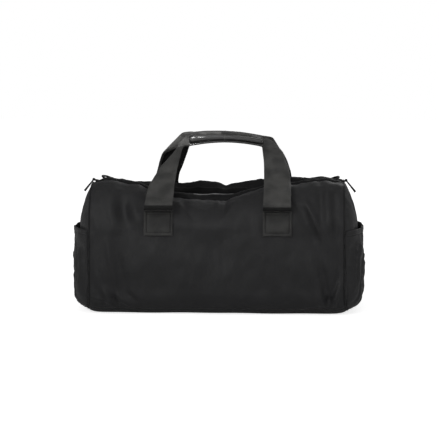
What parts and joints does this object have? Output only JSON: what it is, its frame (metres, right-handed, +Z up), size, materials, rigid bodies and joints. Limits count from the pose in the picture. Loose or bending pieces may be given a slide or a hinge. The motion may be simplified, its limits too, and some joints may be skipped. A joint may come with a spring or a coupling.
{
  "type": "duffel bag",
  "caption": "Soft nylon duffel bag with webbing handles joined by leather grips, a sagging zipped top, open end pockets and D-rings for a shoulder strap.",
  "frame": {"origin": "middle of the base, on the surface the bag stands on", "axes": "+X along the bag to the right end as seen from the front, +Y to the rear, +Z up"},
  "size_m": [0.5232, 0.2346, 0.3195],
  "materials": {
    "nylon": "satin woven nylon",
    "piping": "satin woven nylon over cord",
    "webbing": "ribbed webbing",
    "leather": "semi-gloss grained leather",
    "zipper_tape": "matt woven tape",
    "zipper_coil": "moulded nylon coil",
    "hardware": "black plated metal",
    "board": "matt plastic sheet",
    "lining": "thin plain lining cloth"
  },
  "bodies": {
    "bag": {"front_panel": "nylon", "rear_panel": "nylon", "base_panel": "nylon", "left_end_panel": "nylon", "right_end_panel": "nylon", "front_top_gusset": "nylon", "rear_top_gusset": "nylon", "front_zipper_tape": "zipper_tape", "rear_zipper_tape": "zipper_tape", "front_zipper_coil": "zipper_coil", "rear_zipper_coil": "zipper_coil", "left_end_piping": "piping", "right_end_piping": "piping", "left_pocket_panel": "nylon", "right_pocket_panel": "nylon", "left_pocket_hem": "nylon", "right_pocket_hem": "nylon", "front_left_anchor": "webbing", "front_right_anchor": "webbing", "rear_left_anchor": "webbing", "rear_right_anchor": "webbing", "left_ring_tab": "webbing", "right_ring_tab": "webbing", "base_board": "board", "front_lining": "lining", "rear_lining": "lining", "base_lining": "lining", "left_end_lining": "lining", "right_end_lining": "lining"},
    "front_handle": {"front_handle_webbing": "webbing", "front_grip": "leather"},
    "rear_handle": {"rear_handle_webbing": "webbing", "rear_grip": "leather"},
    "left_slider": {"left_zipper_slider": "hardware"},
    "right_slider": {"right_zipper_slider": "hardware"},
    "left_pull": {"left_zipper_pull": "hardware"},
    "right_pull": {"right_zipper_pull": "hardware"},
    "left_ring": {"left_d_ring": "hardware"},
    "right_ring": {"right_d_ring": "hardware"}
  },
  "joints": [
    {"name": "front_handle_swing", "type": "hinge", "parent": "bag", "child": "front_handle", "pos_m": [0, -0.10024, 0.19292], "axis": [1, 0, 0], "range_deg": [0, 165]},
    {"name": "rear_handle_swing", "type": "hinge", "parent": "bag", "child": "rear_handle", "pos_m": [0, 0.10024, 0.19292], "axis": [-1, 0, 0], "range_deg": [0, 165]},
    {"name": "left_slider_travel", "type": "hinge", "parent": "bag", "child": "left_slider", "pos_m": [0, 0, 1.261], "axis": [0, -1, 0], "range_deg": [0, 11.35]},
    {"name": "right_slider_travel", "type": "hinge", "parent": "bag", "child": "right_slider", "pos_m": [0, 0, 1.261], "axis": [0, 1, 0], "range_deg": [0, 11.35]},
    {"name": "left_pull_swing", "type": "hinge", "parent": "left_slider", "child": "left_pull", "pos_m": [-0.22817, 0, 0.2311], "axis": [0, 1, 0], "range_deg": [0, 150]},
    {"name": "right_pull_swing", "type": "hinge", "parent": "right_slider", "child": "right_pull", "pos_m": [0.22817, 0, 0.2311], "axis": [0, -1, 0], "range_deg": [0, 150]},
    {"name": "left_ring_swing", "type": "hinge", "parent": "bag", "child": "left_ring", "pos_m": [-0.20229, 0.03, 0.22955], "axis": [0.3032, 0.9511, -0.0595], "range_deg": [0, 110]},
    {"name": "right_ring_swing", "type": "hinge", "parent": "bag", "child": "right_ring", "pos_m": [0.20229, 0.03, 0.22955], "axis": [0.3032, -0.9511, 0.0595], "range_deg": [0, 110]}
  ]
}
